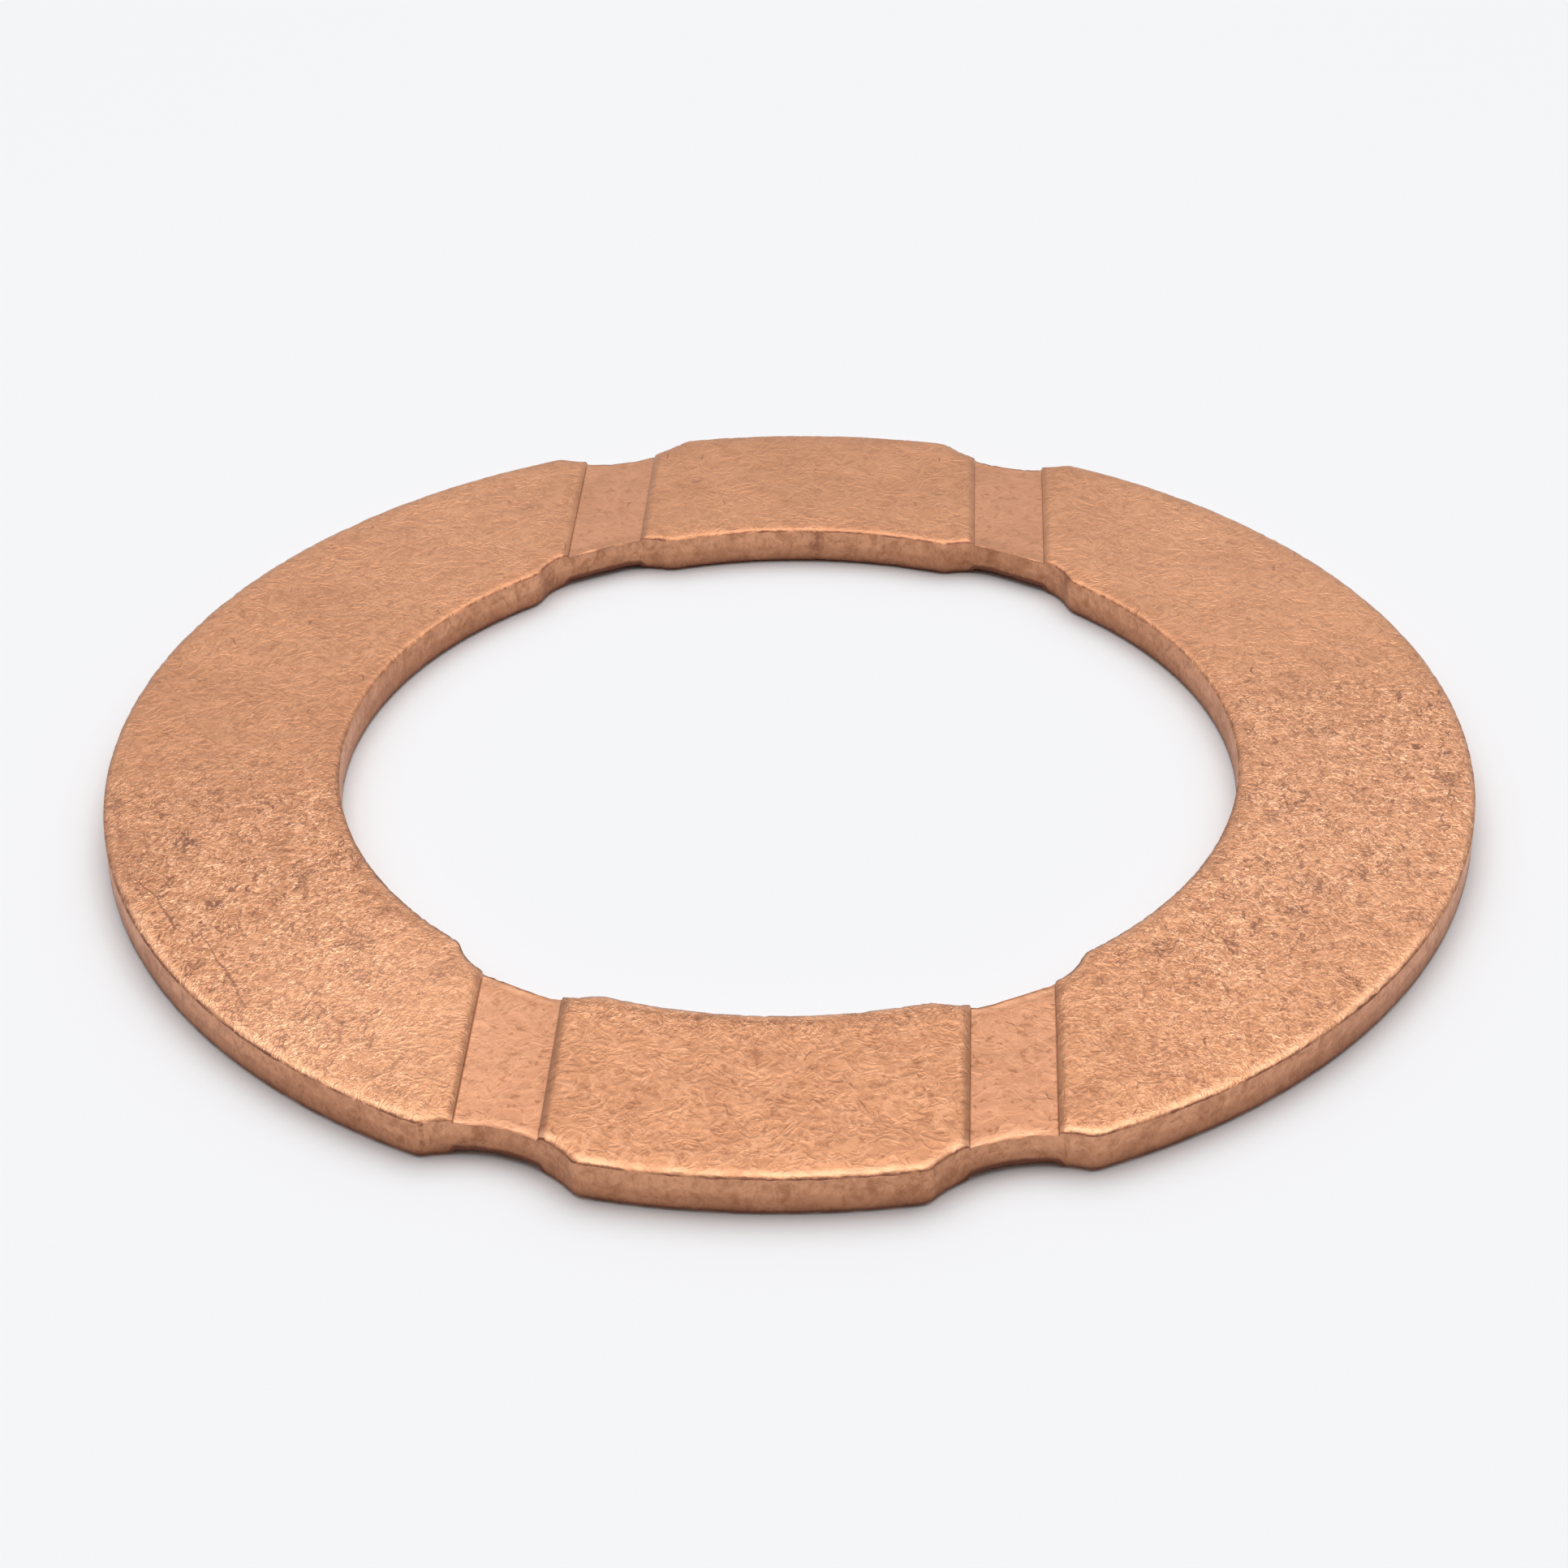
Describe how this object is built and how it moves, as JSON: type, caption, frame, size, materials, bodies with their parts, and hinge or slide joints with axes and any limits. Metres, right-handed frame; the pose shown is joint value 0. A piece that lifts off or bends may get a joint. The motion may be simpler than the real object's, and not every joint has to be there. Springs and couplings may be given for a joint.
{
  "type": "wear ring",
  "caption": "Flat stamped ring of copper alloy with a plain bore, straight coined channels across both faces and shallow notches in the rim and bore at their ends.",
  "frame": {"origin": "centre of the bore, in the plane of the lower face", "axes": "+Z along the axis of the ring from the lower to the upper face, Y along the channels, X across them"},
  "size_m": [0.1, 0.1, 0.003],
  "materials": {
    "copper_alloy": "coined copper alloy with a fine wrinkled grain on the faces, smoother channel floors, brown tarnish and short scratches"
  },
  "bodies": {
    "root": {"wear_ring": "copper_alloy"}
  },
  "joints": []
}
